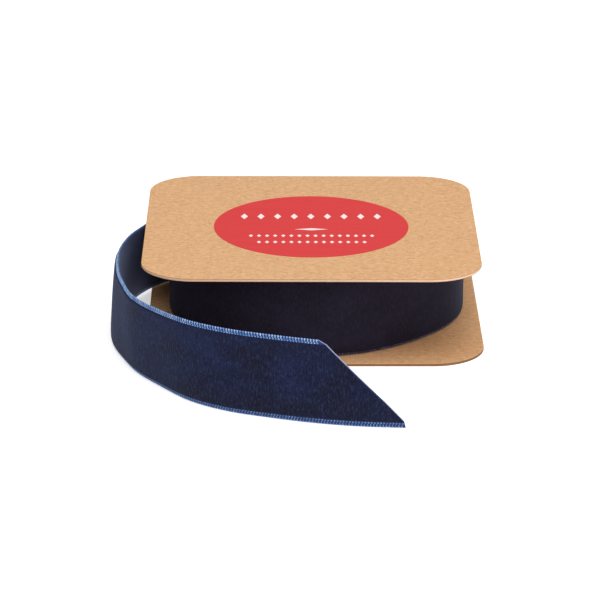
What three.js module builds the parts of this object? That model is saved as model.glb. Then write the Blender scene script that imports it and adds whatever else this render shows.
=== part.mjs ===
import * as THREE from 'three';

// A card of velvet ribbon: two square boards with a roll of ribbon between them.
// The last turn of the ribbon stands loose on its edge in front of the boards and
// ends in a slanting cut. Millimetres, +Z up. The origin is the middle of the
// lower board's underside, and the loose ribbon stands on the same plane.

// Boards
const CARD_SIDE = 90.7;
const CARD_CORNER_RADIUS = 14.25;
const CARD_THICKNESS = 0.8;
const CARD_CORNER_STEPS = 14;
const TOP_CARD_SHIFT = { x: -0.9, y: 0.0 };
const TOP_CARD_TURN = THREE.MathUtils.degToRad(-0.22);

// Ribbon: seven eighths of an inch wide
const RIBBON_WIDTH = 22.225;
const RIBBON_THICKNESS = 1.0;

// Air left between one piece and the next
const CLEARANCE = 0.3;

// Roll: a slightly squared spiral, one layer larger after each full turn
const ROLL_CENTRE = { x: 0.4, y: -0.1 };
const ROLL_RADIUS = 39.1;
const ROLL_SQUARENESS = 0.8;
const ROLL_SIDES = 4;
const ROLL_LAYER = RIBBON_THICKNESS + CLEARANCE;
const ROLL_END_ANGLE = THREE.MathUtils.degToRad(70);
const ROLL_STEPS = 180;

// Round paper label on the upper board
const LABEL_RADIUS = 26.7;
const LABEL_THICKNESS = 0.3;
const LABEL_CENTRE = { x: -0.8, y: -0.9 };
const LABEL_STEPS = 96;

// Heights, from the lower board up
const ROLL_BOTTOM = CARD_THICKNESS + CLEARANCE;
const TOP_CARD_BOTTOM = ROLL_BOTTOM + RIBBON_WIDTH + CLEARANCE;
const LABEL_BOTTOM = TOP_CARD_BOTTOM + CARD_THICKNESS + CLEARANCE;

// Loose end: it starts beside the end of the roll's last whole turn, hugs the roll up
// to this angle and then leaves it
const TAIL_LEAVES_ANGLE = THREE.MathUtils.degToRad(112);
const TAIL_HUG_STATIONS = 6;
const TAIL_START_GAP = 0.4;
const TAIL_LENGTH_STEPS = 150;
const TAIL_WIDTH_STEPS = 6;
const TAIL_ARC_DIVISIONS = 1200;
// Rows across the ribbon crowd towards the lower edge, where the tip is blunt
const TAIL_ROW_CROWDING = 1.5;

// The bow is fullest a little above the middle of the ribbon's width
const TAIL_BELLY_RISE = 1.2;

// The cut, at about 45 degrees: how much shorter the upper edge is, the stretch of
// ribbon that slants towards it, its outward bow, and the blunt tip's length and height
const CUT_RUN = 23.0;
const CUT_EASE = 60;
const CUT_BOW = 0.5;
const TIP_BLUNT = 1.1;
const TIP_HEIGHT = 1.7;

// Stations of the loose end from the roll to the tip, at the ribbon's lower edge.
// x, y: plan position; lift: height above the ground;
// lean: how far the upper edge stands in towards the roll;
// belly: how far the ribbon bows outwards between its edges
const TAIL_STATIONS = [
  { x: -29.9, y: 30.2, lift: 1.1, lean: 1.2, belly: 0 },
  { x: -41.7, y: 19.6, lift: 1.1, lean: 2.3, belly: 0 },
  { x: -46.4, y: 13.4, lift: 1.1, lean: 3.1, belly: 0.1 },
  { x: -49.7, y: 7.2, lift: 0.9, lean: 3.3, belly: 0.2 },
  { x: -53.2, y: -1.5, lift: 0.5, lean: 2.8, belly: 0.3 },
  { x: -54.9, y: -11.5, lift: 0.1, lean: 2.1, belly: 0.3 },
  { x: -54.9, y: -20.5, lift: 0, lean: 1.6, belly: 0.2 },
  { x: -53.9, y: -30.3, lift: 0, lean: 1.1, belly: 0.3 },
  { x: -50.8, y: -40.6, lift: 0, lean: -0.3, belly: 0.3 },
  { x: -46.7, y: -50.8, lift: 0, lean: -1.6, belly: 0.2 },
  { x: -40.4, y: -60.6, lift: 0, lean: -1.7, belly: 0 },
  { x: -32.6, y: -70.9, lift: 0, lean: -0.4, belly: 0 },
  { x: -23.2, y: -77.9, lift: 0, lean: 0.6, belly: 0 },
  { x: -12.0, y: -82.6, lift: 0, lean: 0.9, belly: 0 },
  { x: -1.0, y: -86.2, lift: 0, lean: 1.0, belly: 0 },
  { x: 10.0, y: -88.5, lift: 0, lean: 1.0, belly: 0 },
  { x: 23.3, y: -89.7, lift: 0, lean: 1.0, belly: 0 },
];

// A square board with round corners, lying flat with its underside at z = 0
function boardGeometry() {
  const reach = CARD_SIDE / 2 - CARD_CORNER_RADIUS;
  const outline = new THREE.Shape();
  const corners = [
    { x: reach, y: -reach, start: -Math.PI / 2 },
    { x: reach, y: reach, start: 0 },
    { x: -reach, y: reach, start: Math.PI / 2 },
    { x: -reach, y: -reach, start: Math.PI },
  ];
  for (const corner of corners) {
    outline.absarc(corner.x, corner.y, CARD_CORNER_RADIUS, corner.start, corner.start + Math.PI / 2);
  }
  outline.closePath();
  return new THREE.ExtrudeGeometry(outline, {
    depth: CARD_THICKNESS,
    bevelEnabled: false,
    curveSegments: CARD_CORNER_STEPS,
  });
}

// The roll's radius at an angle counted round from the end of its last whole turn
function rollRadius(turned) {
  const angle = ROLL_END_ANGLE + turned;
  const layer = ROLL_LAYER * turned / (2 * Math.PI);
  return ROLL_RADIUS + ROLL_SQUARENESS * Math.cos(ROLL_SIDES * angle) + layer;
}

// A point beside the roll, a given distance off its surface
function besideRoll(turned, off) {
  const angle = ROLL_END_ANGLE + turned;
  const reach = rollRadius(turned) + off;
  return new THREE.Vector2(
    ROLL_CENTRE.x + reach * Math.cos(angle),
    ROLL_CENTRE.y + reach * Math.sin(angle),
  );
}

// The wound ribbon: one spiral turn as an outline, the height of the ribbon's width
function rollGeometry() {
  const points = [];
  for (let step = 0; step <= ROLL_STEPS; step += 1) {
    points.push(besideRoll(2 * Math.PI * step / ROLL_STEPS, 0));
  }
  return new THREE.ExtrudeGeometry(new THREE.Shape(points), {
    depth: RIBBON_WIDTH,
    bevelEnabled: false,
  });
}

// All stations of the loose end: those that hug the roll, then the table's
function tailStations() {
  const off = CLEARANCE + RIBBON_THICKNESS / 2;
  const first = TAIL_START_GAP / ROLL_RADIUS;
  const last = TAIL_LEAVES_ANGLE - ROLL_END_ANGLE;
  const hugging = [];
  for (let index = 0; index < TAIL_HUG_STATIONS; index += 1) {
    const turned = THREE.MathUtils.lerp(first, last, index / (TAIL_HUG_STATIONS - 1));
    const place = besideRoll(turned, off);
    hugging.push({ x: place.x, y: place.y, lift: ROLL_BOTTOM, lean: 0, belly: 0 });
  }
  return [...hugging, ...TAIL_STATIONS];
}

// How far the strip's end is cut back, at a fraction of the width from the lower edge
function cutBack(across) {
  const bow = CUT_BOW * Math.sin(Math.PI * (1 - across) ** 2);
  const blunt = TIP_BLUNT * Math.max(0, 1 - across * RIBBON_WIDTH / TIP_HEIGHT);
  return CUT_RUN * across - bow + blunt;
}

// The loose end: a straight strip, cut aslant at its end and bent along the stations
function tailGeometry() {
  const stations = tailStations();
  const foot = new THREE.CatmullRomCurve3(
    stations.map((place) => new THREE.Vector3(place.x, place.y, place.lift)),
  );
  foot.arcLengthDivisions = TAIL_ARC_DIVISIONS;
  const stance = new THREE.SplineCurve(
    stations.map((place) => new THREE.Vector2(place.lean, place.belly)),
  );
  const length = foot.getLength();
  const easeStart = length - CUT_EASE;
  const strip = new THREE.BoxGeometry(1, 1, 1, TAIL_LENGTH_STEPS, 1, TAIL_WIDTH_STEPS);
  const position = strip.attributes.position;
  for (let index = 0; index < position.count; index += 1) {
    const across = (position.getZ(index) + 0.5) ** TAIL_ROW_CROWDING;
    const inwards = position.getY(index) * RIBBON_THICKNESS;
    let along = (position.getX(index) + 0.5) * length;
    if (along > easeStart) {
      along -= cutBack(across) * (along - easeStart) / CUT_EASE;
    }
    const t = foot.getUtoTmapping(along / length);
    const base = foot.getPoint(t);
    const heading = foot.getTangent(t);
    const inward = new THREE.Vector2(-heading.y, heading.x).normalize();
    const { x: lean, y: belly } = stance.getPoint(t);
    const rise = Math.sqrt(RIBBON_WIDTH ** 2 - lean ** 2);
    const bow = belly * Math.sin(Math.PI * across ** TAIL_BELLY_RISE);
    const shift = lean * across - bow + inwards;
    position.setXYZ(
      index,
      base.x + inward.x * shift,
      base.y + inward.y * shift,
      Math.max(base.z, 0) + rise * across,
    );
  }
  strip.computeVertexNormals();
  return strip;
}

// A round paper disc with its underside at z = 0
function labelGeometry() {
  const outline = new THREE.Shape();
  outline.absarc(0, 0, LABEL_RADIUS, 0, 2 * Math.PI);
  return new THREE.ExtrudeGeometry(outline, {
    depth: LABEL_THICKNESS,
    bevelEnabled: false,
    curveSegments: LABEL_STEPS,
  });
}

function piece(name, geometry, material) {
  const mesh = new THREE.Mesh(geometry, material);
  mesh.name = name;
  return mesh;
}

const upperBoard = new THREE.MeshStandardMaterial({ color: 0xdcae80, roughness: 0.85, metalness: 0 });
const lowerBoard = new THREE.MeshStandardMaterial({ color: 0xd8aa7c, roughness: 0.85, metalness: 0 });
const woundVelvet = new THREE.MeshStandardMaterial({ color: 0x0b1226, roughness: 1, metalness: 0 });
const looseVelvet = new THREE.MeshStandardMaterial({ color: 0x15264d, roughness: 0.95, metalness: 0 });
const redPaper = new THREE.MeshStandardMaterial({ color: 0xde484c, roughness: 0.6, metalness: 0 });

const card = new THREE.Group();

const bottomCard = piece('bottom_card', boardGeometry(), lowerBoard);
card.add(bottomCard);

const roll = piece('ribbon_roll', rollGeometry(), woundVelvet);
roll.position.z = ROLL_BOTTOM;
card.add(roll);

card.add(piece('ribbon_tail', tailGeometry(), looseVelvet));

const topCard = piece('top_card', boardGeometry(), upperBoard);
topCard.position.set(TOP_CARD_SHIFT.x, TOP_CARD_SHIFT.y, TOP_CARD_BOTTOM);
topCard.rotation.z = TOP_CARD_TURN;
card.add(topCard);

const label = piece('label', labelGeometry(), redPaper);
label.position.set(LABEL_CENTRE.x, LABEL_CENTRE.y, LABEL_BOTTOM);
card.add(label);

export default card;
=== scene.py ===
import math

import bmesh
import bpy
import numpy as np
from mathutils import Matrix, Vector


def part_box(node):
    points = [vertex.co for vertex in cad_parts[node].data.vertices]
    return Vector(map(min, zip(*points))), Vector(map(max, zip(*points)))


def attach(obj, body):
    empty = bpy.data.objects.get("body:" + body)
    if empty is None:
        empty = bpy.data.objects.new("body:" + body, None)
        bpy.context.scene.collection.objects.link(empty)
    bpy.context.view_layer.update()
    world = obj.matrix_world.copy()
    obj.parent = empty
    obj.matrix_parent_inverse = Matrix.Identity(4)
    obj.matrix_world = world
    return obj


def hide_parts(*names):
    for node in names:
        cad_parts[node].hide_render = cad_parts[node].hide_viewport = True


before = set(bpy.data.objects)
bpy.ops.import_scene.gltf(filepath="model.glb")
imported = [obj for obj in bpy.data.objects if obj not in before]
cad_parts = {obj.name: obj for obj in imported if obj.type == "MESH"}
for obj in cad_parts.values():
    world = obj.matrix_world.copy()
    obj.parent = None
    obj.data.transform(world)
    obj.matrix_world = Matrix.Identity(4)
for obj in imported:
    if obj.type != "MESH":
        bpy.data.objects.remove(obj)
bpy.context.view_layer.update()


# The lower board
# A die-cut square of brown kraft board with round corners, pressed from pulp and faced
# with kraft paper on both sides. It lies flat, and the wound ribbon stands on it.
MM = 0.001
BOARD_THICKNESS = 0.8 * MM
BOARD_CORNER_RADIUS = 14.25 * MM
BOARD_CORNER_SEGMENTS = 20
BOARD_CRUSHED_RIM = 0.13 * MM
BOARD_RIM_SEGMENTS = 3
BOARD_SIDE = 90.7 * MM


def paint(red, green, blue):
    """A display colour, 0 to 255 a channel, as the linear colour that a shader takes."""
    return (*[(value / 255) ** 2.2 for value in (red, green, blue)], 1)


class Value:
    """A number that varies over a surface: an output of a node, open to sums."""

    def __init__(self, finish, socket):
        self.finish = finish
        self.socket = socket

    def sum(self, operation, first, second):
        return self.finish.node("Math", {"operation": operation}, {0: first, 1: second})

    def __add__(self, other):
        return self.sum("ADD", self, other)

    def __radd__(self, other):
        return self.sum("ADD", other, self)

    def __sub__(self, other):
        return self.sum("SUBTRACT", self, other)

    def __rsub__(self, other):
        return self.sum("SUBTRACT", other, self)

    def __mul__(self, other):
        return self.sum("MULTIPLY", self, other)

    def __rmul__(self, other):
        return self.sum("MULTIPLY", other, self)


class Finish:
    """A material and the nodes that lead to its one shader."""

    def __init__(self, name, constants):
        self.material = bpy.data.materials.new(name)
        self.material.use_nodes = True
        self.tree = self.material.node_tree
        self.shader = self.tree.nodes["Principled BSDF"]
        for socket, value in constants.items():
            self.shader.inputs[socket].default_value = value

    def feed(self, socket, value):
        if isinstance(value, Value):
            self.tree.links.new(value.socket, socket)
        else:
            socket.default_value = value

    def node(self, kind, settings, inputs, output=0):
        made = self.tree.nodes.new("ShaderNode" + kind)
        for name, value in settings.items():
            setattr(made, name, value)
        for socket, value in inputs.items():
            self.feed(made.inputs[socket], value)
        return Value(self, made.outputs[output])

    def place(self):
        """The point on the piece, in metres."""
        return self.node("TexCoord", {}, {}, "Object")

    def stretched(self, place, scale, turn=0.0):
        """Places turned about Z and then scaled, so that a pattern runs long one way."""
        turned = self.node("Mapping", {}, {"Vector": place, "Rotation": (0, 0, turn)})
        return self.node("Mapping", {}, {"Vector": turned, "Scale": scale})

    def noise(self, place, grain, detail=2.0, roughness=0.5):
        """Soft blotches of about this size in metres, from 0 to 1 round a mean of 0.5."""
        settings = {"noise_dimensions": "3D"}
        inputs = {"Vector": place, "Scale": 1 / grain, "Detail": detail, "Roughness": roughness}
        return self.node("TexNoise", settings, inputs, "Fac")

    def between(self, value, low, high):
        """0 where the value is at low, 1 where it is at high, and smooth in between."""
        inputs = {"Value": value, "From Min": low, "From Max": high}
        return self.node("MapRange", {"interpolation_type": "SMOOTHSTEP"}, inputs, "Result")

    def mix(self, share, first, second):
        """The first colour with this share of the second over it."""
        return self.node("Mix", {"data_type": "RGBA"}, {0: share, 6: first, 7: second}, 2)

    def axis(self, place, name):
        """One coordinate of a place."""
        return self.node("SeparateXYZ", {}, {"Vector": place}, name)

    def bump(self, height, depth, under=None):
        """A relief of this depth in metres, over another relief where one is given."""
        inputs = {"Height": height, "Distance": depth, "Strength": 1.0}
        if under is not None:
            inputs["Normal"] = under
        return self.node("Bump", {}, inputs, "Normal")

    def wear(self, **varying):
        for name, value in varying.items():
            self.feed(self.shader.inputs[name.replace("_", " ")], value)
        return self.material


def kraft_face(name):
    """Kraft paper: soft blotches of pulp, pale and dark flecks, and short fibres."""
    finish = Finish(name, {"Specular IOR Level": 0.25})
    place = finish.place()
    cloud = finish.noise(place, 9 * MM, 3.0)
    calendered = finish.stretched(place, (0.45, 1.0, 1.0))
    pulp = finish.between(finish.noise(calendered, 0.9 * MM, 4.0, 0.7), 0.34, 0.66)
    fleck = finish.between(finish.noise(calendered, 0.7 * MM, 1.0), 0.58, 0.72)
    dark_fleck = finish.between(finish.noise(place, 0.8 * MM, 2.0, 0.6), 0.42, 0.28)
    along = finish.stretched(place, (0.22, 1.0, 1.0), math.radians(12))
    across = finish.stretched(place, (1.0, 0.25, 1.0), math.radians(-20))
    fibre = finish.between(finish.noise(along, 0.34 * MM, 1.0), 0.64, 0.74)
    fibre = fibre + finish.between(finish.noise(across, 0.34 * MM, 1.0), 0.66, 0.76)
    colour = finish.mix(cloud, paint(194, 149, 104), paint(204, 159, 114))
    colour = finish.mix(pulp * 0.85, colour, paint(218, 172, 129))
    colour = finish.mix(fleck * 0.7, colour, paint(232, 184, 148))
    colour = finish.mix(dark_fleck * 0.6, colour, paint(164, 117, 75))
    colour = finish.mix(fibre * 0.45, colour, paint(156, 111, 70))
    rough = 0.78 + pulp * 0.14
    relief = finish.bump(finish.noise(place, 24 * MM, 1.0), 0.10 * MM)
    relief = finish.bump(pulp, 0.018 * MM, relief)
    relief = finish.bump(fibre, 0.006 * MM, relief)
    return finish.wear(Base_Color=colour, Roughness=rough, Normal=relief)


def kraft_edge(name, underside, dark_pulp, pale_pulp):
    """The cut edge of a board whose underside is at this height: pressed pulp between
    two thin brown faces, roughened by the die."""
    finish = Finish(name, {"Specular IOR Level": 0.2})
    place = finish.place()
    height = finish.axis(place, "Z")
    grain = finish.noise(place, 0.5 * MM, 3.0, 0.7)
    layers = finish.stretched(place, (0.15, 0.15, 1.0))
    ply = finish.noise(layers, 0.16 * MM, 2.0)
    ragged = (grain - 0.5) * 0.10 * MM
    top = underside + BOARD_THICKNESS
    upper_face = finish.between(height + ragged, top - 0.26 * MM, top - 0.14 * MM)
    lower_face = finish.between(height + ragged, underside + 0.18 * MM, underside + 0.08 * MM)
    colour = finish.mix(ply, dark_pulp, pale_pulp)
    colour = finish.mix(grain * 0.3, colour, dark_pulp)
    colour = finish.mix(upper_face * 0.85, colour, paint(146, 98, 58))
    colour = finish.mix(lower_face * 0.85, colour, paint(122, 80, 46))
    relief = finish.bump(grain + ply * 0.5, 0.05 * MM)
    return finish.wear(Base_Color=colour, Roughness=0.9, Normal=relief)


def shown(name, bm, materials, node_name=None, smooth=True):
    """A finished piece: a mesh with its materials, riding on the part's one body."""
    mesh = bpy.data.meshes.new(name)
    bm.to_mesh(mesh)
    bm.free()
    piece = bpy.data.objects.new(name, mesh)
    bpy.context.scene.collection.objects.link(piece)
    for material in materials:
        mesh.materials.append(material)
    if smooth:
        mesh.polygons.foreach_set("use_smooth", [True] * len(mesh.polygons))
    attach(piece, "root")
    if node_name:
        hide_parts(node_name)
    return piece


def board(name, node_name, middle, underside, turn, pulp):
    """A board with its underside at a height, round corners, die-crushed rims and two
    tones of pulp in its cut edge."""
    bm = bmesh.new()
    bmesh.ops.create_cube(bm, size=1)
    bmesh.ops.scale(bm, vec=(BOARD_SIDE, BOARD_SIDE, BOARD_THICKNESS), verts=bm.verts)
    upright = [e for e in bm.edges if abs(e.verts[0].co.z - e.verts[1].co.z) > MM / 10]
    bmesh.ops.bevel(
        bm, geom=upright, offset=BOARD_CORNER_RADIUS, segments=BOARD_CORNER_SEGMENTS,
        profile=0.5, affect="EDGES", material=-1,
    )
    rims = [e for e in bm.edges if abs(e.verts[0].co.z - e.verts[1].co.z) < MM / 10]
    bmesh.ops.bevel(
        bm, geom=rims, offset=BOARD_CRUSHED_RIM, segments=BOARD_RIM_SEGMENTS,
        profile=0.5, affect="EDGES", material=-1,
    )
    bm.normal_update()
    for face in bm.faces:
        lying = abs(face.normal.z) > 0.999
        face.smooth = not lying
        face.material_index = 0 if abs(face.normal.z) > 0.7 else 1
    placed = Matrix.Translation((middle[0], middle[1], underside + BOARD_THICKNESS / 2))
    bmesh.ops.transform(bm, matrix=placed @ Matrix.Rotation(turn, 4, "Z"), verts=bm.verts)
    # The pulp tones given hold each board's painted light and shade: painted light on the upper
    # board's edge, painted shade on the lower board's
    looks = [kraft_face(name + "_kraft_paper"), kraft_edge(name + "_cut_edge", underside, *pulp)]
    shown(name, bm, looks, node_name, smooth=False)


lower_low, lower_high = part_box("bottom_card")
lower_middle = (lower_low + lower_high) / 2
# Painted shade: this cut edge's pulp is painted darker than the upper board's, for the shade under
# the upper board
lower_pulp_painted_shade = (paint(112, 84, 62), paint(146, 112, 86))
board("lower_board", "bottom_card", lower_middle, lower_low.z, 0.0, lower_pulp_painted_shade)


# The wound ribbon
# Velvet ribbon seven eighths of an inch wide, woven flat with its pile on one face and
# a bare looped selvage along each edge. Ten yards of it are wound on themselves, pile
# outwards. Only the last whole turn shows, so it alone has ribbed pile and loops.
RIBBON_WIDTH = 22.225 * MM
RIBBON_THICKNESS = 1.0 * MM
RIBBON_LENGTH = 9144 * MM
ROUGH_LOOSE_LENGTH = 222 * MM
SELVAGE_WIDTH = 1.25 * MM
PILE_SHOULDER = 0.35 * MM
# Painted shade: the stretch of the loose end along which the roll's painted shade fades from the
# pile, and a stretch the wound ribbon never reaches, so its pile is painted shade all through
PILE_SHADE_FADES = (15 * MM, 130 * MM)
PILE_ALWAYS_SHADED = (RIBBON_LENGTH, 2 * RIBBON_LENGTH)
LOOP_PITCH = 0.79 * MM
RIB_DEPTH = 0.035 * MM
RIBBED_PAST = 0.45 * MM
BACK_EDGE = 0.6 * MM
COLUMNS_PER_LOOP = 4

ROLL_MIDDLE = Vector((0.4, -0.1, 0)) * MM
ROLL_RADIUS = 39.1 * MM
ROLL_SQUARENESS = 0.8 * MM
ROLL_SIDES = 4
ROLL_LAYER = 1.3 * MM
ROLL_END_ANGLE = math.radians(70)
ROLL_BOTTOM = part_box("ribbon_roll")[0].z
ROLL_HEART = 1.2 * MM
ROLL_RAIL_POINTS = 2400
WOUND_STEPS_PER_TURN = 72
WOUND_THICKNESS = 0.5
WOUND_LAYER_SHARE = 0.9
WOUND_EDGE = 0.25 * MM
WOUND_SELVAGE_SEEN = 0.45

# The ribbon's section, seen along its length: how far across from the lower edge, as
# far as the middle, and how far towards the back from mid thickness
SECTION_TO_MIDDLE = [
    {"across": 0.10 * MM, "back": 0.42 * MM},
    {"across": 0.02 * MM, "back": 0.25 * MM},
    {"across": 0.10 * MM, "back": 0.08 * MM},
    {"across": 0.60 * MM, "back": 0.04 * MM},
    {"across": SELVAGE_WIDTH - 0.05 * MM, "back": 0.03 * MM},
    {"across": SELVAGE_WIDTH, "back": -0.16 * MM},
    {"across": SELVAGE_WIDTH + 0.12 * MM, "back": -0.36 * MM},
    {"across": SELVAGE_WIDTH + PILE_SHOULDER, "back": -0.46 * MM},
    {"across": SELVAGE_WIDTH + 0.9 * MM, "back": -0.50 * MM},
    {"across": 5.0 * MM, "back": -0.50 * MM},
    {"across": 8.0 * MM, "back": -0.50 * MM},
]


def drawn_out(section, length, columns):
    """A closed section of points across and through, drawn out along X: a flat grid
    rolled round the section, welded along its seam and closed at both ends."""
    bm = bmesh.new()
    rows = len(section)
    bmesh.ops.create_grid(bm, x_segments=columns, y_segments=rows, size=0.5)
    for vert in bm.verts:
        across, through = section[round((vert.co.y + 0.5) * rows) % rows]
        vert.co = (vert.co.x + 0.5, through, across)
    bmesh.ops.remove_doubles(bm, verts=bm.verts, dist=1e-6)
    bmesh.ops.scale(bm, vec=(length, 1, 1), verts=bm.verts)
    bmesh.ops.holes_fill(bm, edges=[e for e in bm.edges if e.is_boundary], sides=0)
    bmesh.ops.recalc_face_normals(bm, faces=bm.faces)
    return bm


def flat_strip(length, columns):
    """A length of ribbon lying flat: X along it, Z across it, Y through it to its back.
    The pile is ribbed, and the faces of pile, back and selvage have their own index."""
    lower = [(row["across"], row["back"]) for row in SECTION_TO_MIDDLE]
    upper = [(RIBBON_WIDTH - across, back) for across, back in reversed(lower)]
    middle = [(RIBBON_WIDTH / 2, -RIBBON_THICKNESS / 2)]
    back_rows = [(across, RIBBON_THICKNESS / 2) for across in (RIBBON_WIDTH - BACK_EDGE, BACK_EDGE)]
    bm = drawn_out(lower + middle + upper + back_rows, length, columns)
    for vert in bm.verts:
        if vert.co.y < -RIBBED_PAST:
            wave = math.cos(2 * math.pi * vert.co.x / LOOP_PITCH)
            vert.co.y += RIB_DEPTH * (0.5 - 0.5 * wave)
    bm.normal_update()
    for face in bm.faces:
        where = face.calc_center_median()
        edge = min(where.z, RIBBON_WIDTH - where.z)
        if face.normal.y > 0.5:
            face.material_index = 1
        elif edge > SELVAGE_WIDTH - 0.1 * MM:
            face.material_index = 0
        else:
            face.material_index = 2
    return bm


# The three threads of one loop of selvage, in millimetres: middle (along, through to the
# back, in from the rim), half sizes in the same order, and slant in degrees
LOOP_THREADS = [
    {"middle": (0.40, 0.22, 0.22), "half": (0.42, 0.27, 0.21), "slant": -14},
    {"middle": (0.62, -0.01, 1.00), "half": (0.33, 0.15, 0.18), "slant": 18},
    {"middle": (0.46, 0.01, 0.62), "half": (0.36, 0.11, 0.10), "slant": -52},
]


def overgrown(bm, seen):
    """Sets how wide the lower selvage of a flat length shows under the pile, as a share
    of its width that a function gives for each place along."""
    pushed = 3 * SELVAGE_WIDTH
    for vert in bm.verts:
        edge = SELVAGE_WIDTH * seen(vert.co.x)
        if vert.co.z < SELVAGE_WIDTH:
            vert.co.z *= edge / SELVAGE_WIDTH
        elif vert.co.z < pushed:
            vert.co.z = pushed - (pushed - vert.co.z) * (pushed - edge) / (pushed - SELVAGE_WIDTH)
    return bm


def repeated(bm, pitch, times):
    """A mesh repeated along X: doubled until it is enough, and then the rest taken off."""
    number = bm.verts.layers.int.new("number")
    made = 1
    while made < times:
        copy = bmesh.ops.duplicate(bm, geom=bm.verts[:] + bm.edges[:] + bm.faces[:])["geom"]
        moved = [item for item in copy if isinstance(item, bmesh.types.BMVert)]
        bmesh.ops.translate(bm, vec=(made * pitch, 0, 0), verts=moved)
        for vert in moved:
            vert[number] += made
        made *= 2
    spare = [vert for vert in bm.verts if vert[number] >= times]
    bmesh.ops.delete(bm, geom=spare, context="VERTS")


def flat_selvage(length, upper):
    """The looped threads along one edge of a flat length: a plump row that wraps the
    rim, a row against the pile, and slanted strands between them."""
    bm = bmesh.new()
    for row in LOOP_THREADS:
        shape = Matrix.Diagonal((*[MM * half for half in row["half"]], 1))
        turn = Matrix.Rotation(math.radians(row["slant"]), 4, "Y")
        middle = Matrix.Translation(Vector(row["middle"]) * MM)
        bmesh.ops.create_uvsphere(
            bm, u_segments=6, v_segments=4, radius=1, matrix=middle @ turn @ shape,
        )
    repeated(bm, LOOP_PITCH, int(length / LOOP_PITCH))
    if upper:
        bmesh.ops.scale(bm, vec=(1, 1, -1), verts=bm.verts)
        bmesh.ops.translate(bm, vec=(0, 0, RIBBON_WIDTH), verts=bm.verts)
        bmesh.ops.reverse_faces(bm, faces=bm.faces)
    return bm


def carried(bm, places):
    """Bends a flat mesh, and keeps each point's flat place for the weave to follow."""
    kept = bm.verts.layers.float_vector.new("flat")
    flat = np.array([vert.co for vert in bm.verts])
    for vert, place in zip(bm.verts, places(flat)):
        vert[kept] = vert.co
        vert.co = place
    return bm


def roll_radius(angle, turned):
    """The last turn's outer face, one layer further out after the whole turn."""
    layer = ROLL_LAYER * turned / (2 * math.pi)
    return ROLL_RADIUS + ROLL_SQUARENESS * np.cos(ROLL_SIDES * angle) + layer


last_turned = np.linspace(0, 2 * math.pi, ROLL_RAIL_POINTS)
last_angle = ROLL_END_ANGLE + last_turned
last_radius = roll_radius(last_angle, last_turned)
last_travelled = np.concatenate([[0], np.cumsum(np.hypot(
    np.diff(last_radius * np.cos(last_angle)), np.diff(last_radius * np.sin(last_angle)),
))])
LAST_TURN_LENGTH = float(last_travelled[-1])


def on_last_turn(flat):
    """The last whole turn: it presses on the turns below at its start and stands looser
    towards its end, where the ribbon leaves the roll."""
    turned = np.interp(flat[:, 0], last_travelled, last_turned)
    angle = ROLL_END_ANGLE + turned
    thickness = WOUND_THICKNESS + (1 - WOUND_THICKNESS) * turned / (2 * math.pi)
    depth = (flat[:, 1] + RIBBON_THICKNESS / 2) * thickness
    radius = roll_radius(angle, turned) - depth
    return np.stack([
        ROLL_MIDDLE.x + radius * np.cos(angle),
        ROLL_MIDDLE.y + radius * np.sin(angle),
        ROLL_BOTTOM + flat[:, 2],
    ], axis=1)


def weave_place(finish):
    """The place on the flat ribbon: X along it, Y through it, Z across it, in metres.
    The hidden turns keep units of their own in X and Y, as in_the_roll says."""
    return finish.node("Attribute", {"attribute_name": "flat"}, {}, "Vector")


def velvet_pile(name, shade_fades):
    """Navy cut pile: upright filaments in fine crosswise ribs, brushed a little this way
    and that. On the roll the pile is painted darker and warmer, as painted shade between the
    boards and their brown bounce light, and this painted shade fades to the pile's own bluer
    navy along the given stretch of the loose end."""
    finish = Finish(name, {
        "Specular IOR Level": 0.08,
        "Sheen Weight": 0.12,
        "Sheen Roughness": 0.5,
        "Sheen Tint": (0.42, 0.50, 0.80, 1),
    })
    flat = weave_place(finish)
    brushed = finish.noise(finish.stretched(flat, (0.6, 1.0, 1.0)), 7 * MM, 3.0, 0.55)
    brushed = finish.between(brushed, 0.30, 0.72)
    streak = finish.noise(finish.stretched(flat, (1.0, 1.0, 0.3)), 0.42 * MM, 2.0, 0.6)
    wide_streak = finish.noise(finish.stretched(flat, (1.0, 1.0, 0.35)), 2.2 * MM, 2.0)
    tuft = finish.noise(flat, 0.33 * MM, 2.0, 0.7)
    # Painted shade: 0 where the pile carries the roll's painted shade, 1 past the given stretch
    free = finish.between(finish.axis(flat, "X"), shade_fades[0], shade_fades[1])
    # Painted shade: the pressed tones paint the roll's shade between the boards, darker and warmer
    # for their brown bounce light; the other tones are the pile's own navy
    pressed = finish.mix(brushed, paint(33, 28, 36), paint(38, 33, 45))
    out_of_shade_colour = finish.mix(brushed, paint(29, 30, 44), paint(33, 39, 66))
    low = finish.between(finish.axis(flat, "Z"), 9 * MM, 2 * MM)
    out_of_shade_colour = finish.mix(low * 0.6, out_of_shade_colour, paint(32, 32, 42))
    colour = finish.mix(free, pressed, out_of_shade_colour)
    # Streaks and tufts show less in the painted shade
    strength = free * 0.65 + 0.35
    light = finish.between(streak, 0.44, 0.76) * 0.6 + finish.between(wide_streak, 0.45, 0.8) * 0.06
    colour = finish.mix(light * strength, colour, paint(52, 58, 90))
    dark = finish.between(tuft, 0.56, 0.38) * 0.45
    colour = finish.mix(dark * strength, colour, paint(13, 13, 24))
    relief = finish.bump(wide_streak, 0.10 * MM)
    relief = finish.bump(streak, 0.05 * MM, relief)
    relief = finish.bump(tuft, 0.05 * MM, relief)
    return finish.wear(Base_Color=colour, Roughness=0.92, Normal=relief)


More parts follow.
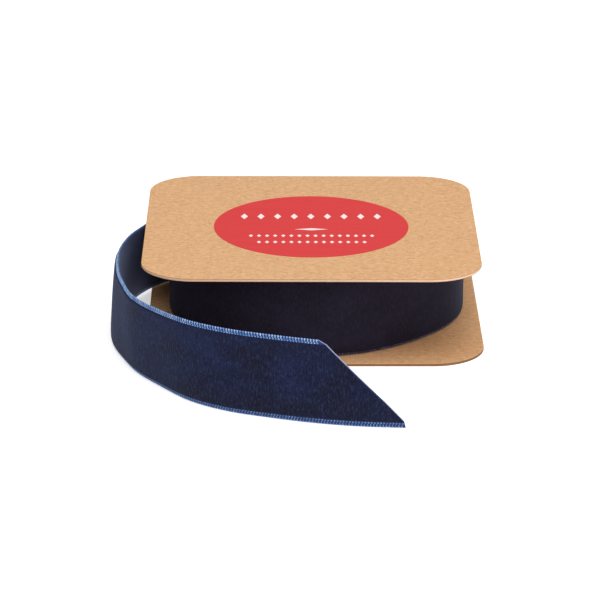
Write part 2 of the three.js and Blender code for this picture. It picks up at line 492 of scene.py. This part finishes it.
def ribbon_back(name):
    """The smooth woven back: dark warp with a fine weft, and paler towards its edges."""
    finish = Finish(name, {
        "Specular IOR Level": 0.3,
        "Sheen Weight": 0.25,
        "Sheen Roughness": 0.4,
        "Sheen Tint": (0.45, 0.55, 0.85, 1),
    })
    flat = weave_place(finish)
    across = finish.axis(flat, "Z")
    warp = finish.noise(finish.stretched(flat, (0.06, 1.0, 1.0)), 0.35 * MM, 2.0)
    weft = finish.noise(finish.stretched(flat, (1.0, 1.0, 0.08)), 0.40 * MM, 2.0)
    lower_edge = finish.between(across, 1.4 * MM, 0.6 * MM)
    upper_edge = finish.between(across, RIBBON_WIDTH - 1.0 * MM, RIBBON_WIDTH - 0.5 * MM)
    colour = finish.mix(warp, paint(37, 38, 61), paint(50, 53, 80))
    colour = finish.mix(finish.between(weft, 0.45, 0.75) * 0.4, colour, paint(62, 68, 98))
    colour = finish.mix(lower_edge * 0.8, colour, paint(96, 120, 168))
    colour = finish.mix(upper_edge * 0.7, colour, paint(50, 80, 140))
    relief = finish.bump(warp + weft, 0.04 * MM)
    return finish.wear(Base_Color=colour, Roughness=0.7, Normal=relief)


def selvage_ground(name, deep, pale):
    """The dark weave under the looped threads."""
    finish = Finish(name, {"Specular IOR Level": 0.3, "Sheen Weight": 0.2})
    flat = weave_place(finish)
    grain = finish.noise(flat, 0.3 * MM, 2.0)
    colour = finish.mix(grain, deep, pale)
    return finish.wear(Base_Color=colour, Roughness=0.7, Normal=finish.bump(grain, 0.05 * MM))


def selvage_thread(name, dull, bright):
    """Twisted filament, a little uneven from loop to loop, between a dull and a bright tone:
    light blue on the free ribbon. Each loop is painted brightest at its crown, with painted
    shade in the gaps between loops, less along the rim that faces up. The dusky tones given
    for the roll and for the loose end's lower edge are painted shade."""
    finish = Finish(name, {
        "Specular IOR Level": 0.5,
        "Sheen Weight": 0.4,
        "Sheen Roughness": 0.35,
        "Sheen Tint": (0.6, 0.75, 1.0, 1),
    })
    flat = weave_place(finish)
    off_middle = finish.axis(flat, "Z") - RIBBON_WIDTH / 2
    edge = finish.node("Math", {"operation": "ABSOLUTE"}, {0: off_middle})
    turn = (finish.axis(flat, "X") - edge * 0.6) * (2 * math.pi / LOOP_PITCH)
    # Painted light: loops painted brightest at their crowns and darker in the gaps between them,
    # where shade falls; less darkening along the rim, which faces the light above
    painted_gap_shade = finish.between(finish.node("Math", {"operation": "COSINE"}, {0: turn}), 0.0, 0.9)
    rim = finish.between(edge, RIBBON_WIDTH / 2 - 0.6 * MM, RIBBON_WIDTH / 2 - 0.3 * MM)
    painted_crown_light = 1 - painted_gap_shade * (1 - rim * 0.7)
    uneven = finish.noise(flat, 1.7 * MM, 2.0)
    twist = finish.noise(finish.stretched(flat, (1.0, 1.0, 2.5)), 0.20 * MM, 1.0)
    colour = finish.mix(finish.between(uneven, 0.3, 0.7) * painted_crown_light, dull, bright)
    colour = finish.mix(finish.between(twist, 0.5, 0.3) * 0.5, colour, dull)
    return finish.wear(Base_Color=colour, Roughness=0.42, Normal=finish.bump(twist, 0.05 * MM))


loose_pile = velvet_pile("velvet_pile_loose", PILE_SHADE_FADES)
wound_pile_painted_shade = velvet_pile("velvet_pile_wound_painted_shade", PILE_ALWAYS_SHADED)
back = ribbon_back("ribbon_back")
ground = selvage_ground("selvage_ground", paint(16, 30, 72), paint(34, 60, 118))
# Painted shade: darker, warmer tones for the roll's selvage weave, in shade between the boards
wound_ground_painted_shade = selvage_ground("selvage_ground_wound_painted_shade", paint(22, 20, 34), paint(40, 38, 60))
thread = selvage_thread("selvage_thread", paint(84, 128, 196), paint(178, 214, 246))
# Painted shade: darker tones for the loose end's lower loops, shaded under the pile near the floor
low_thread_painted_shade = selvage_thread("selvage_thread_low_painted_shade", paint(66, 100, 156), paint(122, 164, 216))
# Painted shade: dusky tones for the roll's loops, in shade between the boards
wound_thread_painted_shade = selvage_thread("selvage_thread_wound_painted_shade", paint(34, 32, 54), paint(118, 116, 158))

# The turns below the last one are pressed thin. Their pitch follows from the ribbon's
# whole length, less the last turn and the loose end.
wound_length = RIBBON_LENGTH - ROUGH_LOOSE_LENGTH - LAST_TURN_LENGTH
wound_pitch = math.pi * (ROLL_RADIUS ** 2 - ROLL_HEART ** 2) / wound_length
wound_turns = (ROLL_RADIUS - ROLL_HEART) / wound_pitch
wound_layer = WOUND_LAYER_SHARE * wound_pitch


def in_the_roll(flat):
    """The turns below: X counts steps from the heart outwards, Y runs from 0 at a
    layer's outer face to 1 at its back."""
    still = (wound_turns * WOUND_STEPS_PER_TURN - flat[:, 0]) / WOUND_STEPS_PER_TURN
    angle = ROLL_END_ANGLE - 2 * math.pi * still
    outer = ROLL_RADIUS - wound_pitch * still
    square = ROLL_SQUARENESS * np.cos(ROLL_SIDES * angle) * outer / ROLL_RADIUS
    radius = outer + square - flat[:, 1] * wound_layer
    return np.stack([
        ROLL_MIDDLE.x + radius * np.cos(angle),
        ROLL_MIDDLE.y + radius * np.sin(angle),
        ROLL_BOTTOM + flat[:, 2],
    ], axis=1)


def wound_strip():
    """The turns below as a flat strip, one unit long for each step round the roll."""
    section = [
        (WOUND_EDGE, 0), (RIBBON_WIDTH - WOUND_EDGE, 0), (RIBBON_WIDTH - WOUND_EDGE / 10, 0.5),
        (RIBBON_WIDTH - WOUND_EDGE, 1), (WOUND_EDGE, 1), (WOUND_EDGE / 10, 0.5),
    ]
    steps = int(wound_turns * WOUND_STEPS_PER_TURN)
    bm = drawn_out(section, steps, steps)
    for face in bm.faces:
        rim = abs(face.normal.z) > 0.3
        face.material_index = 2 if rim else 0
    return bm


def joined(first, second):
    """Two meshes as one."""
    kept = bpy.data.meshes.new("joining")
    second.to_mesh(kept)
    second.free()
    first.from_mesh(kept)
    bpy.data.meshes.remove(kept)
    return first


last_columns = round(LAST_TURN_LENGTH / LOOP_PITCH) * COLUMNS_PER_LOOP
last_flat = overgrown(flat_strip(LAST_TURN_LENGTH, last_columns), lambda along: WOUND_SELVAGE_SEEN)
last_turn = carried(last_flat, on_last_turn)
turns_below = carried(wound_strip(), in_the_roll)
shown(
    "wound_ribbon", joined(last_turn, turns_below), [wound_pile_painted_shade, back, wound_ground_painted_shade],
    "ribbon_roll",
)
wound_lower = overgrown(flat_selvage(LAST_TURN_LENGTH, False), lambda along: WOUND_SELVAGE_SEEN)
both_selvages = joined(wound_lower, flat_selvage(LAST_TURN_LENGTH, True))
shown("wound_ribbon_selvages", carried(both_selvages, on_last_turn), [wound_thread_painted_shade])


# The loose end
# The same ribbon where it leaves the roll: it swings out round the boards' left side,
# stands on its edge in front of them, pile outwards, and ends in a slanting scissor cut.
LEAVES_ANGLE = math.radians(112)
HUG_STATIONS = 6
START_GAP = 0.4 * MM
HUG_GAP = 0.3 * MM
BELLY_RISE = 1.2
SELVAGE_COVERED = 95 * MM
SELVAGE_COMES_OUT = 110 * MM
SELVAGE_LEAST_SEEN = 0.4
SELVAGE_MORE_SEEN = 0.8
LOOSE_RAIL_POINTS = 3000

# How far back from the tip each selvage's loops end, and the length that the slanting cut
# takes off on average
UPPER_CUT_BACK = 23.8 * MM
LOWER_CUT_BACK = 1.4 * MM

# Plan place of the lower edge, its height above the ground, how far the upper edge
# stands in towards the roll, and how far the ribbon bows outwards between its edges,
# all in millimetres
STATIONS = [
    {"x": -29.9, "y": 30.2, "lift": 1.1, "lean": 1.2, "belly": 0},
    {"x": -41.7, "y": 19.6, "lift": 1.1, "lean": 2.3, "belly": 0},
    {"x": -46.4, "y": 13.4, "lift": 1.1, "lean": 3.1, "belly": 0.1},
    {"x": -49.7, "y": 7.2, "lift": 0.9, "lean": 3.3, "belly": 0.2},
    {"x": -53.2, "y": -1.5, "lift": 0.5, "lean": 2.8, "belly": 0.3},
    {"x": -54.9, "y": -11.5, "lift": 0.1, "lean": 2.1, "belly": 0.3},
    {"x": -54.9, "y": -20.5, "lift": 0, "lean": 1.6, "belly": 0.2},
    {"x": -53.9, "y": -30.3, "lift": 0, "lean": 1.1, "belly": 0.3},
    {"x": -50.8, "y": -40.6, "lift": 0, "lean": -0.3, "belly": 0.3},
    {"x": -46.7, "y": -50.8, "lift": 0, "lean": -1.6, "belly": 0.2},
    {"x": -40.4, "y": -60.6, "lift": 0, "lean": -1.7, "belly": 0},
    {"x": -32.6, "y": -70.9, "lift": 0, "lean": -0.4, "belly": 0},
    {"x": -23.2, "y": -77.9, "lift": 0, "lean": 0.6, "belly": 0},
    {"x": -12.0, "y": -82.6, "lift": 0, "lean": 0.9, "belly": 0},
    {"x": -1.0, "y": -86.2, "lift": 0, "lean": 1.0, "belly": 0},
    {"x": 10.0, "y": -88.5, "lift": 0, "lean": 1.0, "belly": 0},
    {"x": 23.3, "y": -89.7, "lift": 0, "lean": 1.0, "belly": 0},
]

# The scissor cut, lowest stroke first: how far back from the tip and how high it
# starts, and how far it runs back for each millimetre of height
STROKES = [
    {"back": 1.1, "height": 0.0, "run": 0.26},
    {"back": 1.54, "height": 1.7, "run": 0.98},
    {"back": 6.24, "height": 6.51, "run": 1.068},
    {"back": 21.7, "height": 21.0, "run": 2.0},
]


def loose_stations():
    """The stations that hug the roll, then the table's, in metres."""
    hugging = []
    first = START_GAP / ROLL_RADIUS
    last = LEAVES_ANGLE - ROLL_END_ANGLE
    for index in range(HUG_STATIONS):
        turned = first + (last - first) * index / (HUG_STATIONS - 1)
        angle = ROLL_END_ANGLE + turned
        reach = roll_radius(angle, turned) + HUG_GAP + RIBBON_THICKNESS / 2
        hugging.append((
            ROLL_MIDDLE.x + reach * math.cos(angle), ROLL_MIDDLE.y + reach * math.sin(angle),
            ROLL_BOTTOM, 0.0, 0.0,
        ))
    columns = ("x", "y", "lift", "lean", "belly")
    return np.array(hugging + [[row[name] * MM for name in columns] for row in STATIONS])


def cubic(p1, p2, m1, m2, weight):
    """A place between two others, on a curve that leaves and arrives at these slopes."""
    bend = -3 * p1 + 3 * p2 - 2 * m1 - m2
    return p1 + m1 * weight + bend * weight ** 2 + (2 * p1 - 2 * p2 + m1 + m2) * weight ** 3


def centripetal(points, t):
    """A smooth line through points, even where they are spaced unevenly."""
    last = len(points) - 2
    index = min(int(t * (len(points) - 1)), last)
    weight = t * (len(points) - 1) - index
    p1, p2 = points[index], points[index + 1]
    p0 = points[index - 1] if index > 0 else 2 * p1 - p2
    p3 = points[index + 2] if index < last else 2 * p2 - p1
    d0, d1, d2 = [math.sqrt(np.linalg.norm(b - a)) for a, b in ((p0, p1), (p1, p2), (p2, p3))]
    m1 = ((p1 - p0) / d0 - (p2 - p0) / (d0 + d1) + (p2 - p1) / d1) * d1
    m2 = ((p2 - p1) / d1 - (p3 - p1) / (d1 + d2) + (p3 - p2) / d2) * d1
    return cubic(p1, p2, m1, m2, weight)


def even(values, t):
    """A smooth curve through values at even steps."""
    last = len(values) - 2
    index = min(int(t * (len(values) - 1)), last)
    weight = t * (len(values) - 1) - index
    v1, v2 = values[index], values[index + 1]
    before = values[max(index - 1, 0)]
    after = values[min(index + 2, last + 1)]
    return cubic(v1, v2, (v2 - before) / 2, (after - v1) / 2, weight)


stations = loose_stations()
rail_t = np.linspace(0, 1, LOOSE_RAIL_POINTS)
rail = np.array([centripetal(stations[:, :3], t) for t in rail_t])
rail_stance = np.array([even(stations[:, 3:], t) for t in rail_t])
before_start = rail[0] + (rail[0] - rail[1]) / np.linalg.norm(rail[1] - rail[0]) * START_GAP
rail = np.vstack([before_start, rail])
rail_stance = np.vstack([rail_stance[:1], rail_stance])
rail_travelled = np.concatenate([[0], np.cumsum(np.linalg.norm(np.diff(rail, axis=0), axis=1))])
rail_heading = np.gradient(rail[:, :2], axis=0)
rail_heading /= np.linalg.norm(rail_heading, axis=1)[:, None]
loose_length = float(rail_travelled[-1])


def on_the_ground(flat):
    """The loose end, standing on its lower edge along its stations."""
    along = flat[:, 0]
    x, y, z = [np.interp(along, rail_travelled, rail[:, axis]) for axis in range(3)]
    ahead_x, ahead_y = [np.interp(along, rail_travelled, rail_heading[:, axis]) for axis in (0, 1)]
    lean, belly = [np.interp(along, rail_travelled, rail_stance[:, axis]) for axis in (0, 1)]
    share = np.clip(flat[:, 2] / RIBBON_WIDTH, 0, 1)
    rise = np.sqrt(RIBBON_WIDTH ** 2 - lean ** 2)
    bow = belly * np.sin(math.pi * share ** BELLY_RISE)
    shift = lean * share - bow + flat[:, 1]
    height = np.maximum(z, 0) + rise * flat[:, 2] / RIBBON_WIDTH
    return np.stack([x - ahead_y * shift, y + ahead_x * shift, height], axis=1)


def lower_selvage_seen(along):
    """The lower selvage comes out from under the pile towards the cut."""
    share = min(1, max(0, (along - SELVAGE_COVERED) / SELVAGE_COMES_OUT))
    return SELVAGE_LEAST_SEEN + SELVAGE_MORE_SEEN * share


def cut_aslant(bm, length):
    """Takes off what lies past each stroke of the scissors, and closes the cut."""
    for stroke in STROKES:
        point = (length - stroke["back"] * MM, 0, stroke["height"] * MM)
        bmesh.ops.bisect_plane(
            bm, geom=bm.verts[:] + bm.edges[:] + bm.faces[:], dist=1e-7,
            plane_co=point, plane_no=(1, 0, stroke["run"]), clear_outer=True,
        )
    rim = [e for e in bm.edges if e.is_boundary]
    filled = bmesh.ops.holes_fill(bm, edges=rim, sides=0)["faces"]
    closing = bmesh.ops.triangulate(bm, faces=filled)["faces"]
    for face in closing:
        face.material_index = 3
    return bm


def cut_face(name):
    """The cut through the ribbon: pale ends of ground threads and dark pile."""
    finish = Finish(name, {"Specular IOR Level": 0.3, "Sheen Weight": 0.3})
    flat = weave_place(finish)
    depth = finish.axis(flat, "Y")
    height = finish.axis(flat, "Z")
    grain = finish.noise(flat, 0.35 * MM, 2.0)
    weave = finish.between(depth + (grain - 0.5) * 0.3 * MM, -0.15 * MM, 0.0)
    pale = finish.between(height + (grain - 0.5) * 6 * MM, 8 * MM, 19 * MM)
    ends = finish.mix(pale, paint(54, 62, 116), paint(132, 150, 204))
    colour = finish.mix(weave, paint(44, 50, 82), ends)
    return finish.wear(Base_Color=colour, Roughness=0.8, Normal=finish.bump(grain, 0.08 * MM))


loose_columns = round(loose_length / LOOP_PITCH) * COLUMNS_PER_LOOP
loose_flat = overgrown(flat_strip(loose_length, loose_columns), lower_selvage_seen)
cut_aslant(loose_flat, loose_length)
loose_ribbon = shown(
    "loose_ribbon", carried(loose_flat, on_the_ground),
    [loose_pile, back, ground, cut_face("ribbon_cut")], "ribbon_tail",
)
lower_selvage = overgrown(flat_selvage(loose_length - LOWER_CUT_BACK, False), lower_selvage_seen)
upper_selvage = flat_selvage(loose_length - UPPER_CUT_BACK, True)
loose_lower_selvage = shown(
    "loose_ribbon_lower_selvage", carried(lower_selvage, on_the_ground), [low_thread_painted_shade],
)
loose_upper_selvage = shown(
    "loose_ribbon_upper_selvage", carried(upper_selvage, on_the_ground), [thread],
)


# The upper board
# The same die-cut board again, laid on the roll a little askew. Its cut edge is painted
# paler than the lower board's: painted light on this edge, painted shade on the lower one.
UPPER_TURN = math.radians(-0.22)
upper_low, upper_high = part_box("top_card")
upper_middle = (upper_low + upper_high) / 2
# Painted light: paler pulp tones than the lower board's, for the light on this edge
upper_pulp_painted_light = (paint(216, 174, 142), paint(248, 214, 188))
board("upper_board", "top_card", upper_middle, upper_low.z, UPPER_TURN, upper_pulp_painted_light)


# The label
# A round of coated paper under one flood of red ink, with rows of plain white lozenges
# printed over it. It is stuck flat on the middle of the upper board.
LABEL_PAPER = 0.11 * MM
INK = 0.012 * MM
LABEL_SEGMENTS = 160
label_low, label_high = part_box("label")
label_middle = (label_low + label_high) / 2
label_radius = (label_high.x - label_low.x) / 2


def red_paper(name):
    """Matt-coated paper under one flood of red ink, a little streaky from the press."""
    finish = Finish(name, {"Specular IOR Level": 0.35})
    place = finish.place()
    streak = finish.noise(finish.stretched(place, (0.05, 1.0, 1.0)), 1.6 * MM, 2.0)
    grain = finish.noise(place, 0.8 * MM, 3.0, 0.6)
    colour = finish.mix(streak, paint(203, 44, 47), paint(212, 56, 58))
    colour = finish.mix(grain * 0.3, colour, paint(218, 70, 68))
    relief = finish.bump(grain, 0.01 * MM)
    return finish.wear(Base_Color=colour, Roughness=0.55, Normal=relief)


def thickened(bm, depth, underside):
    """Flat faces given this depth, and laid at a height over the label's middle."""
    lifted = bmesh.ops.extrude_face_region(bm, geom=bm.faces[:])["geom"]
    raised = [item for item in lifted if isinstance(item, bmesh.types.BMVert)]
    bmesh.ops.translate(bm, vec=(0, 0, depth), verts=raised)
    bmesh.ops.recalc_face_normals(bm, faces=bm.faces)
    bmesh.ops.translate(bm, vec=(label_middle.x, label_middle.y, underside), verts=bm.verts)
    return bm


bm = bmesh.new()
bmesh.ops.create_circle(bm, cap_ends=True, segments=LABEL_SEGMENTS, radius=label_radius)
shown(
    "round_label", thickened(bm, LABEL_PAPER, upper_high.z), [red_paper("red_paper")],
    "label", smooth=False,
)

# White ink in four rows of plain lozenges: how far in front of the label's middle, how
# many, their spacing and their half width and depth, all in millimetres
PRINT_ROWS = [
    {"front": -8.3, "marks": 9, "pitch": 4.6, "half": (1.0, 2.4)},
    {"front": 3.0, "marks": 1, "pitch": 0.0, "half": (4.6, 0.9)},
    {"front": 8.6, "marks": 16, "pitch": 2.2, "half": (0.6, 1.1)},
    {"front": 14.0, "marks": 14, "pitch": 2.2, "half": (0.6, 1.1)},
]


def white_ink(name):
    """Thin white ink with a little of the red showing through."""
    finish = Finish(name, {"Specular IOR Level": 0.3})
    grain = finish.noise(finish.place(), 0.5 * MM, 2.0)
    colour = finish.mix(grain, paint(236, 214, 208), paint(246, 234, 230))
    return finish.wear(Base_Color=colour, Roughness=0.6)


bm = bmesh.new()
for row in PRINT_ROWS:
    half_x, half_y = [size * MM for size in row["half"]]
    for mark in range(row["marks"]):
        off = (mark - (row["marks"] - 1) / 2) * row["pitch"] * MM
        place = Matrix.Translation((off, -row["front"] * MM, 0))
        bmesh.ops.create_circle(
            bm, cap_ends=True, segments=4, radius=1,
            matrix=place @ Matrix.Diagonal((half_x, half_y, 1, 1)),
        )
shown(
    "label_print", thickened(bm, INK, upper_high.z + LABEL_PAPER), [white_ink("white_ink")],
    smooth=False,
)


# The setting
# A plain pale floor, soft light from above and in front, and a long lens that looks
# down at the card from in front.
FLOOR_REACH = 3.0
FLOOR_DROP = 0.02 * MM
FLOOR_GREY = (0.86, 0.86, 0.86, 1)
FLOOR_GLOW = 0.45
STUDIO_WHITE = (1, 1, 1, 1)
STUDIO_STRENGTH = 0.34
CAMERA_PLACE = Vector((-12.17, -881.28, 314.457)) * MM
CAMERA_TILT = math.radians(19.486)
CAMERA_TURN = math.radians(-0.5454)
CAMERA_ROLL = math.radians(0.223)
FOCAL_PIXELS = 3373.66
FRAME_PIXELS = 600
SENSOR = 36
CLIP_NEAR = 0.01
CLIP_FAR = 20

bm = bmesh.new()
bmesh.ops.create_grid(bm, x_segments=1, y_segments=1, size=FLOOR_REACH)
bmesh.ops.translate(bm, vec=(0, 0, -FLOOR_DROP), verts=bm.verts)
floor_mesh = bpy.data.meshes.new("floor")
bm.to_mesh(floor_mesh)
bm.free()
floor = bpy.data.objects.new("floor", floor_mesh)
bpy.context.scene.collection.objects.link(floor)
floor_paint = Finish("floor_paint", {
    "Roughness": 0.9, "Specular IOR Level": 0.1, "Emission Strength": FLOOR_GLOW,
})
floor_mesh.materials.append(floor_paint.wear(Base_Color=FLOOR_GREY))

LIGHTS = [
    {"name": "overhead", "place": (0.1, -0.15, 1.1), "size": 1.1, "power": 10.8},
    {"name": "front", "place": (0.15, -1.05, 0.6), "size": 0.7, "power": 4.8},
]
for row in LIGHTS:
    lamp = bpy.data.lights.new(row["name"], "AREA")
    lamp.shape = "SQUARE"
    lamp.size = row["size"]
    lamp.energy = row["power"]
    lamp_object = bpy.data.objects.new(row["name"], lamp)
    bpy.context.scene.collection.objects.link(lamp_object)
    aim = -Vector(row["place"])
    lamp_object.matrix_world = (
        Matrix.Translation(row["place"]) @ aim.to_track_quat("-Z", "Y").to_matrix().to_4x4()
    )

world = bpy.data.worlds.new("studio")
world.use_nodes = True
studio_light = world.node_tree.nodes["Background"]
studio_light.inputs["Color"].default_value = STUDIO_WHITE
studio_light.inputs["Strength"].default_value = STUDIO_STRENGTH
bpy.context.scene.world = world
bpy.context.scene.view_settings.view_transform = "Standard"

camera = bpy.data.objects.new("camera", bpy.data.cameras.new("camera"))
camera.data.sensor_width = SENSOR
camera.data.lens = FOCAL_PIXELS / FRAME_PIXELS * SENSOR
camera.data.clip_start = CLIP_NEAR
camera.data.clip_end = CLIP_FAR
bpy.context.scene.collection.objects.link(camera)
camera.matrix_world = (
    Matrix.Translation(CAMERA_PLACE)
    @ Matrix.Rotation(CAMERA_TURN, 4, "Z")
    @ Matrix.Rotation(math.pi / 2 - CAMERA_TILT, 4, "X")
    @ Matrix.Rotation(CAMERA_ROLL, 4, "Z")
)
bpy.context.scene.camera = camera

bpy.context.view_layer.update()
